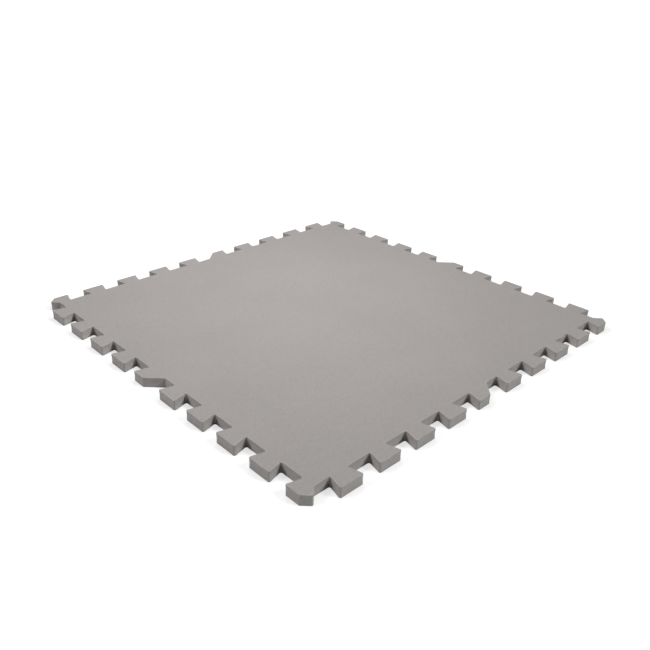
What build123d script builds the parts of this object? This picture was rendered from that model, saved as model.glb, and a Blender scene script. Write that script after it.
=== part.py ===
"""A foam blocking mat tile: one 12 inch square, die-cut with ten dovetail tabs on each side.

The tile is a flat laminate: one sheet of closed-cell foam, with an embossed skin over each
face. The three layers are cut together, so they share one outline. Units are millimetres,
+Z is up, and the origin is on the surface under the middle of the tile.
"""

from build123d import *
from math import radians, tan
import os

# Driving dimensions
module = 305.0  # nominal side: the distance from one laid tile to the next
thickness = 7.25
skin_thickness = 0.8  # the embossed layer on each face
tabs_per_side = 10
tab_depth = 10.5  # from the root line to the tip line
flank_angle = 15.0  # how far a dovetail flank leans from square, in degrees
corner_radius = 1.0  # every corner of the outline is cut round

# Worked out from them
pitch = module / tabs_per_side
half_gap = pitch / 2
reach = tab_depth / 2  # the tip and root lines lie this far each side of the nominal line
overhang = reach * tan(radians(flank_angle))  # a flank moves this far either way
core_thickness = thickness - 2 * skin_thickness
sides = 4


def tab_profile(number):
    """The points of one tab as (distance along the side, distance outward).

    Each tab stands on the second half of its pitch, after a gap. The tab before the
    middle of a side and the one before its corner end in a 45 degree flank through the
    nominal line, so that four tiles meet in a point, and also meet half a tile along.
    """
    start = number * pitch - half_gap
    end = number * pitch
    points = [(start + overhang, -reach), (start - overhang, reach)]
    if number == tabs_per_side:
        return points + [(end - reach, reach)]
    if number == tabs_per_side // 2:
        return points + [(end - reach, reach), (end + reach, -reach)]
    return points + [(end + overhang, reach), (end - overhang, -reach)]


def side_profile():
    """One side from its start corner up to, but not including, the next corner."""
    points = [(0, 0), (reach, -reach)]
    for number in range(1, tabs_per_side + 1):
        points += tab_profile(number)
    return points


def tile_outline():
    """The closed outline: the same side, turned a quarter turn for each of the four."""
    outline = []
    for side in range(sides):
        for along, outward in side_profile():
            point = Vector(along - module / 2, -module / 2 - outward)
            outline.append(point.rotate(Axis.Z, 360 / sides * side))
    return outline


# The outline that the knife cuts through every layer
with BuildSketch() as cut_outline:
    with BuildLine():
        Polyline(*tile_outline(), close=True)
    make_face()
    fillet(cut_outline.vertices(), radius=corner_radius)

# The skin on the underside, which rests on the table
with BuildPart() as base_skin:
    add(cut_outline.sketch)
    extrude(amount=skin_thickness)

# The foam sheet between the skins, which takes the pins
with BuildPart() as foam_core:
    with BuildSketch(Plane.XY.offset(skin_thickness)):
        add(cut_outline.sketch)
    extrude(amount=core_thickness)

# The skin on the upper face, which the wet knitting lies on
with BuildPart() as top_skin:
    with BuildSketch(Plane.XY.offset(thickness - skin_thickness)):
        add(cut_outline.sketch)
    extrude(amount=skin_thickness)

os.makedirs("parts", exist_ok=True)

base_skin.part.label = "base_skin"
export_step(base_skin.part, "parts/base_skin.step")

foam_core.part.label = "foam_core"
export_step(foam_core.part, "parts/foam_core.step")

top_skin.part.label = "top_skin"
export_step(top_skin.part, "parts/top_skin.step")
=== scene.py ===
"""The looks of a foam blocking mat tile: three foam layers, die-cut to one dovetailed outline.

Lengths are in metres. The outline is worked out again here from the tile's few driving
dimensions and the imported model's own box, so each layer lies where its CAD node lies.
"""

from math import acos, atan2, cos, pi, radians, sin, tan

import bpy
from mathutils import Matrix, Vector, geometry, noise


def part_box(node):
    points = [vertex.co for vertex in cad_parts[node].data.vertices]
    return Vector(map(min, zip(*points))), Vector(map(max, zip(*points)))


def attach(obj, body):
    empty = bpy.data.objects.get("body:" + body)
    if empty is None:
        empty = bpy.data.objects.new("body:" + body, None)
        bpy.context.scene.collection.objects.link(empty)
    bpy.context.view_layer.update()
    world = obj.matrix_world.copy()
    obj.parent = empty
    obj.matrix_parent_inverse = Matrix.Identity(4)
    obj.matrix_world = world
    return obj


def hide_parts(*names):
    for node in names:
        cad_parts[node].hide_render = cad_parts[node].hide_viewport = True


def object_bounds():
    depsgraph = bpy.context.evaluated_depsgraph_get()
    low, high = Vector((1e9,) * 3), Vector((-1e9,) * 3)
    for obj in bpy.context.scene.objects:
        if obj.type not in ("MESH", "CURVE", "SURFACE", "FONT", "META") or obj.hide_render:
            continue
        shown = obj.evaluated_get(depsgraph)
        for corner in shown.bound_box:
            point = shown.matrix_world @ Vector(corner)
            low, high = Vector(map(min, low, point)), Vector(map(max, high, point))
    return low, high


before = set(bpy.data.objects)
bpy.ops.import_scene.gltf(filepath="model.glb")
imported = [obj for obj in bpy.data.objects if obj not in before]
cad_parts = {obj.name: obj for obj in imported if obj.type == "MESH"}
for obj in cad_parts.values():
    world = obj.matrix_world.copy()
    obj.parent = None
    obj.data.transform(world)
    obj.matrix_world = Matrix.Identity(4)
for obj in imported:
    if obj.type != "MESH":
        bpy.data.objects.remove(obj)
cad_low, cad_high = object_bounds()

# The tile's driving dimensions
MODULE = 0.305  # nominal side: the distance from one laid tile to the next
TABS_PER_SIDE = 10
FLANK_ANGLE = radians(15)
CORNER_RADIUS = 0.001
SIDES = 4

# Worked out from them and from the frame
PITCH = MODULE / TABS_PER_SIDE
REACH = (cad_high.x - cad_low.x - MODULE) / 2  # tabs and gaps lie this far each side of it
OVERHANG = REACH * tan(FLANK_ANGLE)
THICKNESS = cad_high.z - cad_low.z

# How finely the meshes follow the shape
ARC_STEPS = 6
WALL_STEP = 0.0015
FACE_STEP = 0.0015

# The cut edge
RIM_RADIUS = 0.00035  # the outer edge of each skin is rolled over
BOND_DIP = 0.00006  # the shallow groove where two layers meet
CORE_PULL_IN = 0.00015  # cut foam relaxes inward between its skins
FLAT_BAND = 0.00085  # how far in from the edge the face becomes level
FACE_SINK = 0.00012  # the most that the face wanders below level
BROAD_WAVES = 22  # waves of that wandering, per metre
SMALL_WAVES = 90
BASE_SEED = 3.0  # the two skins wander differently
TOP_SEED = 11.0
MERGE_DISTANCE = 1e-7  # points of a face closer than this are one point

# The foam's surface: how many of each feature there are per metre, and how deep they are
BROAD_PATCHES = 14.0
FINE_SPECKS = 900.0
GLOSS_PATCHES = 120.0
WEAR_PATCHES = 160.0
EDGE_WEAR = 0.2  # the most that rubbing lightens the rolled rim
PEBBLES = 1250.0
PEBBLE_DEPTH = 0.00016
SKIN_FUZZ = 2600.0
SKIN_FUZZ_DEPTH = 0.00004
PORES = 2400.0
PORE_DEPTH = 0.00016
DIE_STREAKS = 1400.0
DIE_STREAK_DEPTH = 0.00009
DIE_STREAK_STRETCH = (1.0, 1.0, 0.05)  # long upright, because the die cuts downwards

# Colours and roughness
TOP_SKIN_COLOR = (0.380, 0.352, 0.346)
CORE_COLOR = (0.422, 0.397, 0.388)
BASE_SKIN_COLOR = (0.396, 0.372, 0.364)
SKIN_ROUGHNESS = 0.66
CORE_ROUGHNESS = 0.78
ROUGHNESS_SPREAD = 0.05
SPECULAR = 0.3
SHEEN = 0.08
SHEEN_ROUGHNESS = 0.5
TEXTURE_LOW = 0.3  # the texture value that takes the low end of a range
TEXTURE_HIGH = 0.7  # and the one that takes the high end

# The studio, with angles in degrees
STAGE_RADIUS = 6.0
STAGE_SEGMENTS = 96
SEEN_FLOOR = (0.42, 0.72)  # how white a surface is, and how much it glows
BOUNCE_FLOOR = (0.65, 0.0)
BACKDROP = (0.8, 1.0)
SOFTBOX_SWING = 76  # how far round from the camera each side softbox stands
SOFTBOX_RISE = 40
SOFTBOX_SPREAD = 18
LEFT_STRENGTH = 1.45
RIGHT_STRENGTH = 2.0
RIGHT_TINT = (0.975, 1.0, 0.965)
OVERHEAD_SIZE = 0.6 * MODULE
OVERHEAD_POWER = 0.52
OVERHEAD_PLACE = (-0.22 * MODULE, 0.03 * MODULE, 1.05 * MODULE)
WORLD_STRENGTH = 0.01

# The camera, with angles in degrees
CAMERA_AZIMUTH = 46.02
CAMERA_ELEVATION = 25.84
CAMERA_ROLL = 1.20
CAMERA_DISTANCE = 1.813 * MODULE
LENS = 39.23
SENSOR_WIDTH = 36.0
SHIFT_Y = -0.0229


# ---- the outline ----

def tab_profile(number):
    """One tab as (distance along the side, distance outward)."""
    start = (number - 0.5) * PITCH
    end = number * PITCH
    points = [(start + OVERHANG, -REACH), (start - OVERHANG, REACH)]
    if number == TABS_PER_SIDE:
        return points + [(end - REACH, REACH)]
    if number == TABS_PER_SIDE // 2:
        return points + [(end - REACH, REACH), (end + REACH, -REACH)]
    return points + [(end + OVERHANG, REACH), (end - OVERHANG, -REACH)]


def sharp_outline():
    """The corners of the tile, anticlockwise from above, before they are rounded."""
    side = [(0, 0), (REACH, -REACH)]
    for number in range(1, TABS_PER_SIDE + 1):
        side += tab_profile(number)
    corners = []
    for turn in range(SIDES):
        rotation = Matrix.Rotation(turn * 2 * pi / SIDES, 2)
        for along, outward in side:
            corners.append(rotation @ Vector((along - MODULE / 2, -MODULE / 2 - outward)))
    return corners


def rounded_corner(before, corner, after):
    """The arc that replaces a corner, as (point, outward normal) pairs."""
    back = (before - corner).normalized()
    ahead = (after - corner).normalized()
    half_angle = acos(max(-1.0, min(1.0, back.dot(ahead)))) / 2
    centre = corner + (back + ahead).normalized() * (CORNER_RADIUS / sin(half_angle))
    first = corner + back * (CORNER_RADIUS / tan(half_angle)) - centre
    last = corner + ahead * (CORNER_RADIUS / tan(half_angle)) - centre
    start = atan2(first.y, first.x)
    sweep = (atan2(last.y, last.x) - start + pi) % (2 * pi) - pi
    outward = 1 if sweep > 0 else -1
    arc = []
    for step in range(ARC_STEPS + 1):
        angle = start + sweep * step / ARC_STEPS
        spoke = Vector((cos(angle), sin(angle)))
        arc.append((centre + spoke * CORNER_RADIUS, spoke * outward))
    return arc


def outline():
    """The whole cut line, evenly stepped, as (point, outward normal) pairs."""
    corners = sharp_outline()
    arcs = []
    for index, corner in enumerate(corners):
        arcs.append(rounded_corner(corners[index - 1], corner, corners[(index + 1) % len(corners)]))
    line = []
    for index, arc in enumerate(arcs):
        line += arc
        start, normal = arc[-1]
        end = arcs[(index + 1) % len(arcs)][0][0]
        steps = max(1, round((end - start).length / WALL_STEP))
        for step in range(1, steps):
            line.append((start.lerp(end, step / steps), normal))
    return line


CUT_LINE = outline()


# ---- the layers ----

def rolled_edge(face, inward):
    """Levels of a skin's rolled outer edge, from the wall to the level face."""
    levels = []
    for step in range(ARC_STEPS + 1):
        angle = step / ARC_STEPS * pi / 2
        height = face + inward * RIM_RADIUS * (1 - sin(angle))
        levels.append((height, RIM_RADIUS * (1 - cos(angle)), 1.0 if step else 0.0))
    return levels + [(face, FLAT_BAND, 0.0)]


def skin_levels(face, bond):
    """Levels of a skin as (height, inset, wear), from its bonded side to its outer face."""
    inward = 1 if bond > face else -1
    bonded = [(bond, FLAT_BAND, 0.0), (bond, BOND_DIP, 0.0), (bond - inward * BOND_DIP, 0.0, 0.0)]
    return bonded + rolled_edge(face, inward)


def core_levels(low, high, steps=12):
    """Levels of the core as (height, inset, wear): its cut wall bows in between the skins."""
    levels = [(low, FLAT_BAND, 0.0), (low, BOND_DIP, 0.0)]
    for step in range(steps + 1):
        share = step / steps
        height = low + BOND_DIP + (high - low - 2 * BOND_DIP) * share
        levels.append((height, CORE_PULL_IN * sin(pi * share), 0.0))
    return levels + [(high, BOND_DIP, 0.0), (high, FLAT_BAND, 0.0)]


def face_points():
    """Evenly spaced points inside the root line, for the wide faces."""
    half = MODULE / 2 - REACH - FACE_STEP
    steps = round(2 * half / FACE_STEP)
    places = [-half + 2 * half * step / steps for step in range(steps + 1)]
    return [Vector((x, y)) for x in places for y in places]


def face_sink(point, seed):
    """How far the pressed face lies below level at a point, from broad soft waves."""
    broad = noise.noise(Vector((point.x * BROAD_WAVES, point.y * BROAD_WAVES, seed)))
    small = noise.noise(Vector((point.x * SMALL_WAVES, point.y * SMALL_WAVES, seed + 5)))
    return FACE_SINK * min(1, max(0, 0.5 + 0.6 * broad + 0.25 * small))


def wall_faces(level_count, upward):
    """Quads all round the cut line, between each level and the next."""
    count = len(CUT_LINE)
    faces = []
    for level in range(level_count - 1):
        low, high = level * count, (level + 1) * count
        for index in range(count):
            after = (index + 1) % count
            quad = [low + index, low + after, high + after, high + index]
            faces.append(quad if upward else quad[::-1])
    return faces


def end_faces(vertices, first, facing_up, seed=None):
    """Triangles across one end of a layer, inside the ring of vertices that starts at first.

    With a seed, the face gets vertices of its own, which lie a little below level.
    """
    count = len(CUT_LINE)
    height = vertices[first][2]
    ring = [Vector(vertices[first + index][:2]) for index in range(count)]
    inner = [] if seed is None else face_points()
    edges = [(index, (index + 1) % count) for index in range(count)]
    made = geometry.delaunay_2d_cdt(ring + inner, edges, [], 1, MERGE_DISTANCE)
    points, _, triangles, sources, _, _ = made
    place_of = []
    for point, source in zip(points, sources):
        if source and source[0] < count:
            place_of.append(first + source[0])
            continue
        sink = face_sink(point, seed)
        place_of.append(len(vertices))
        vertices.append((point.x, point.y, height - sink if facing_up else height + sink))
    faces = []
    for triangle in triangles:
        corners = [place_of[index] for index in triangle]
        faces.append(corners if facing_up else corners[::-1])
    return faces


def layer(name, levels, seed=None):
    """A closed layer: a wall through the levels, with a face across each end.

    A seed is for a skin, whose last level is its pressed face, which wanders a little.
    """
    vertices = []
    wear = []
    for height, inset, worn in levels:
        for point, normal in CUT_LINE:
            place = point - normal * inset
            vertices.append((place.x, place.y, height))
            wear.append(worn)
    upward = levels[-1][0] >= levels[0][0]
    faces = wall_faces(len(levels), upward)
    faces += end_faces(vertices, 0, not upward)
    faces += end_faces(vertices, (len(levels) - 1) * len(CUT_LINE), upward, seed)
    mesh = bpy.data.meshes.new(name)
    mesh.from_pydata(vertices, [], faces)
    edge_wear = mesh.attributes.new("edge_wear", "FLOAT", "POINT")
    for index, worn in enumerate(wear):
        edge_wear.data[index].value = worn
    mesh.validate()
    mesh.shade_smooth()
    piece = bpy.data.objects.new(name, mesh)
    bpy.context.scene.collection.objects.link(piece)
    return piece


# ---- materials ----

def node(tree, kind, **settings):
    """A new shader node with its inputs set by name."""
    made = tree.nodes.new(kind)
    for name, value in settings.items():
        made.inputs[name.replace("_", " ")].default_value = value
    return made


def noise_of(tree, coordinates, scale, detail=2.0):
    """A cloudy 0 to 1 value with the given number of clouds per metre."""
    made = node(tree, "ShaderNodeTexNoise", Scale=scale, Detail=detail)
    tree.links.new(coordinates, made.inputs["Vector"])
    return made.outputs["Fac"]


def remapped(tree, value, low, high):
    """A texture value, with TEXTURE_LOW to TEXTURE_HIGH spread over low to high."""
    made = node(tree, "ShaderNodeMapRange")
    made.inputs["From Min"].default_value = TEXTURE_LOW
    made.inputs["From Max"].default_value = TEXTURE_HIGH
    made.inputs["To Min"].default_value = low
    made.inputs["To Max"].default_value = high
    tree.links.new(value, made.inputs["Value"])
    return made.outputs["Result"]


def product(tree, first, second):
    """Two shades multiplied."""
    made = tree.nodes.new("ShaderNodeMath")
    made.operation = "MULTIPLY"
    tree.links.new(first, made.inputs[0])
    tree.links.new(second, made.inputs[1])
    return made.outputs[0]


def offset(tree, value, amount):
    """A value with a fixed amount added to it."""
    made = tree.nodes.new("ShaderNodeMath")
    made.inputs[1].default_value = amount
    tree.links.new(value, made.inputs[0])
    return made.outputs[0]


def tinted(tree, color, shade):
    """The base colour, lightened and darkened by a shade near 1."""
    made = tree.nodes.new("ShaderNodeVectorMath")
    made.operation = "SCALE"
    made.inputs[0].default_value = color
    tree.links.new(shade, made.inputs["Scale"])
    return made.outputs[0]


def bumped(tree, height, distance, strength, under=None, sunken=False):
    """A normal with relief from a height, on top of the relief under it if there is any."""
    made = node(tree, "ShaderNodeBump", Strength=strength, Distance=distance)
    made.invert = sunken
    tree.links.new(height, made.inputs["Height"])
    if under:
        tree.links.new(under, made.inputs["Normal"])
    return made.outputs["Normal"]


def rubbed(tree, place):
    """A shade near 1 that lightens the rim in uneven patches, where tiles rub when they lock."""
    rim = tree.nodes.new("ShaderNodeAttribute")
    rim.attribute_name = "edge_wear"
    patches = remapped(tree, noise_of(tree, place, WEAR_PATCHES, 4.0), 0.0, EDGE_WEAR)
    return offset(tree, product(tree, rim.outputs["Fac"], patches), 1.0)


def foam_material(name, roughness):
    """A matte foam with nothing on it yet: (material, node tree, shader, coordinates, shade)."""
    material = bpy.data.materials.new(name)
    material.use_nodes = True
    tree = material.node_tree
    shader = tree.nodes["Principled BSDF"]
    shader.inputs["Specular IOR Level"].default_value = SPECULAR
    shader.inputs["Sheen Weight"].default_value = SHEEN
    shader.inputs["Sheen Roughness"].default_value = SHEEN_ROUGHNESS
    place = tree.nodes.new("ShaderNodeTexCoord").outputs["Object"]
    broad = remapped(tree, noise_of(tree, place, BROAD_PATCHES, 3.0), 0.975, 1.025)
    fine = remapped(tree, noise_of(tree, place, FINE_SPECKS), 0.97, 1.03)
    gloss = noise_of(tree, place, GLOSS_PATCHES)
    rough = remapped(tree, gloss, roughness - ROUGHNESS_SPREAD, roughness + ROUGHNESS_SPREAD)
    tree.links.new(rough, shader.inputs["Roughness"])
    return material, tree, shader, place, product(tree, broad, fine)


def skin_material(name, color):
    """Embossed skin: raised pebbles under a millimetre across, with painted shade in the hollows
    between them.
    """
    material, tree, shader, place, shade = foam_material(name, SKIN_ROUGHNESS)
    pebble = node(tree, "ShaderNodeTexVoronoi", Scale=PEBBLES)
    pebble.feature = "SMOOTH_F1"
    tree.links.new(place, pebble.inputs["Vector"])
    distance = pebble.outputs["Distance"]
    # painted shade and light: the hollows between the pebbles are darkened and the pebble tops a
    # little lightened
    shade = product(tree, shade, remapped(tree, distance, 1.025, 0.93))
    shade = product(tree, shade, rubbed(tree, place))
    tree.links.new(tinted(tree, color, shade), shader.inputs["Base Color"])
    grain = bumped(tree, distance, PEBBLE_DEPTH, 0.7, sunken=True)
    normal = bumped(tree, noise_of(tree, place, SKIN_FUZZ), SKIN_FUZZ_DEPTH, 0.4, grain)
    tree.links.new(normal, shader.inputs["Normal"])
    return material


def core_material(name, color):
    """Cut foam: open pores with painted shade inside them, and faint upright marks from the die."""
    material, tree, shader, place, shade = foam_material(name, CORE_ROUGHNESS)
    pores = node(tree, "ShaderNodeTexVoronoi", Scale=PORES)
    tree.links.new(place, pores.inputs["Vector"])
    # painted shade: the hollow of each pore is darkened and the cell walls between pores a little
    # lightened
    shade = product(tree, shade, remapped(tree, pores.outputs["Distance"], 0.88, 1.05))
    stretched = tree.nodes.new("ShaderNodeVectorMath")
    stretched.operation = "MULTIPLY"
    stretched.inputs[1].default_value = DIE_STREAK_STRETCH
    tree.links.new(place, stretched.inputs[0])
    streaks = noise_of(tree, stretched.outputs[0], DIE_STREAKS)
    shade = product(tree, shade, remapped(tree, streaks, 0.96, 1.04))
    tree.links.new(tinted(tree, color, shade), shader.inputs["Base Color"])
    marks = bumped(tree, streaks, DIE_STREAK_DEPTH, 0.6)
    normal = bumped(tree, pores.outputs["Distance"], PORE_DEPTH, 0.8, marks)
    tree.links.new(normal, shader.inputs["Normal"])
    return material


# ---- the tile ----

def place_layer(piece, material, cad_node):
    """Dresses a layer and lets it stand for its CAD node."""
    piece.data.materials.append(material)
    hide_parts(cad_node)
    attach(piece, "root")


def make_tile():
    """The three layers, each at the height of the CAD node that it stands for."""
    base_low, base_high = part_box("base_skin")
    core_low, core_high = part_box("foam_core")
    top_low, top_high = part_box("top_skin")
    base = layer("base_foam_skin", skin_levels(base_low.z, base_high.z), BASE_SEED)
    core = layer("foam_sheet", core_levels(core_low.z, core_high.z))
    top = layer("top_foam_skin", skin_levels(top_high.z, top_low.z), TOP_SEED)
    place_layer(base, skin_material("base_skin_foam", BASE_SKIN_COLOR), "base_skin")
    place_layer(core, core_material("cut_foam", CORE_COLOR), "foam_core")
    place_layer(top, skin_material("top_skin_foam", TOP_SKIN_COLOR), "top_skin")


# ---- the studio ----

def stage_material(name, whiteness, glow):
    """A plain white studio surface, which may also glow a little so that it stays white."""
    material = bpy.data.materials.new(name)
    material.use_nodes = True
    shader = material.node_tree.nodes["Principled BSDF"]
    shader.inputs["Base Color"].default_value = (whiteness, whiteness, whiteness, 1)
    shader.inputs["Roughness"].default_value = 0.9
    shader.inputs["Specular IOR Level"].default_value = 0.0
    shader.inputs["Emission Color"].default_value = (1, 1, 1, 1)
    shader.inputs["Emission Strength"].default_value = glow
    return material


def stage_ring(name, rings, surface, hidden_from):
    """A round of staging through the given (radius, height) rings, or a disc for one ring.

    It is hidden from the given kinds of ray, and never casts a shadow.
    """
    vertices = []
    for radius, height in rings:
        for step in range(STAGE_SEGMENTS):
            angle = 2 * pi * step / STAGE_SEGMENTS
            vertices.append((radius * cos(angle), radius * sin(angle), height))
    faces = []
    for ring in range(len(rings) - 1):
        for step in range(STAGE_SEGMENTS):
            after = (step + 1) % STAGE_SEGMENTS
            low, high = ring * STAGE_SEGMENTS, (ring + 1) * STAGE_SEGMENTS
            faces.append([low + step, low + after, high + after, high + step])
    if len(rings) == 1:
        faces.append(list(range(STAGE_SEGMENTS)))
    mesh = bpy.data.meshes.new(name)
    mesh.from_pydata(vertices, [], faces)
    mesh.materials.append(stage_material(name, *surface))
    made = bpy.data.objects.new(name, mesh)
    bpy.context.scene.collection.objects.link(made)
    for kind in hidden_from + ["shadow"]:
        setattr(made, "visible_" + kind, False)


def soft_sun(name, azimuth, strength, color=(1, 1, 1)):
    """Even light from a wide patch of the studio, given where it stands round the tile."""
    light = bpy.data.lights.new(name, "SUN")
    light.energy = strength
    light.angle = radians(SOFTBOX_SPREAD)
    light.color = color
    lamp = bpy.data.objects.new(name, light)
    bpy.context.scene.collection.objects.link(lamp)
    across, rise = radians(azimuth), radians(SOFTBOX_RISE)
    source = Vector((sin(across) * cos(rise), -cos(across) * cos(rise), sin(rise)))
    lamp.rotation_euler = source.to_track_quat("Z", "Y").to_euler()


def overhead_softbox():
    """A small softbox above the tile's far left, so that its light falls off to the front."""
    light = bpy.data.lights.new("overhead_softbox", "AREA")
    light.shape = "SQUARE"
    light.size = OVERHEAD_SIZE
    light.energy = OVERHEAD_POWER
    lamp = bpy.data.objects.new("overhead_softbox", light)
    bpy.context.scene.collection.objects.link(lamp)
    lamp.location = OVERHEAD_PLACE
    lamp.visible_camera = False


def make_studio():
    """A white floor and surround, with softboxes to the left and right of the camera.

    The floor that the camera sees glows a little, so that it stays white under soft
    shadows. The one that lights the tile's walls from below is plain and doesn't glow.
    """
    floor = [(STAGE_RADIUS, cad_low.z)]
    wall = floor + [(STAGE_RADIUS, STAGE_RADIUS)]
    stage_ring("floor", floor, SEEN_FLOOR, ["diffuse", "glossy"])
    stage_ring("bounce_floor", floor, BOUNCE_FLOOR, ["camera"])
    stage_ring("backdrop", wall, BACKDROP, ["diffuse", "glossy"])
    soft_sun("left_softbox", CAMERA_AZIMUTH - SOFTBOX_SWING, LEFT_STRENGTH)
    soft_sun("right_softbox", CAMERA_AZIMUTH + SOFTBOX_SWING, RIGHT_STRENGTH, RIGHT_TINT)
    overhead_softbox()
    world = bpy.data.worlds.new("studio")
    world.use_nodes = True
    world.node_tree.nodes["Background"].inputs["Color"].default_value = (1, 1, 1, 1)
    world.node_tree.nodes["Background"].inputs["Strength"].default_value = WORLD_STRENGTH
    bpy.context.scene.world = world
    bpy.context.scene.view_settings.view_transform = "Standard"


def make_camera():
    """The camera at the photograph's angle, looking at the middle of the upper face."""
    azimuth, elevation, roll = radians(CAMERA_AZIMUTH), radians(CAMERA_ELEVATION), radians(CAMERA_ROLL)
    back = Vector((sin(azimuth) * cos(elevation), -cos(azimuth) * cos(elevation), sin(elevation)))
    right = Vector((cos(azimuth), sin(azimuth), 0))
    up = back.cross(right)
    camera = bpy.data.objects.new("camera", bpy.data.cameras.new("camera"))
    bpy.context.scene.collection.objects.link(camera)
    camera.data.lens = LENS
    camera.data.sensor_width = SENSOR_WIDTH
    camera.data.shift_y = SHIFT_Y
    axes = (right * cos(roll) + up * sin(roll), up * cos(roll) - right * sin(roll), back)
    placed = Matrix(axes).transposed().to_4x4()
    placed.translation = back * CAMERA_DISTANCE + Vector((0, 0, THICKNESS))
    camera.matrix_world = placed
    bpy.context.scene.camera = camera


make_camera()
make_tile()
make_studio()
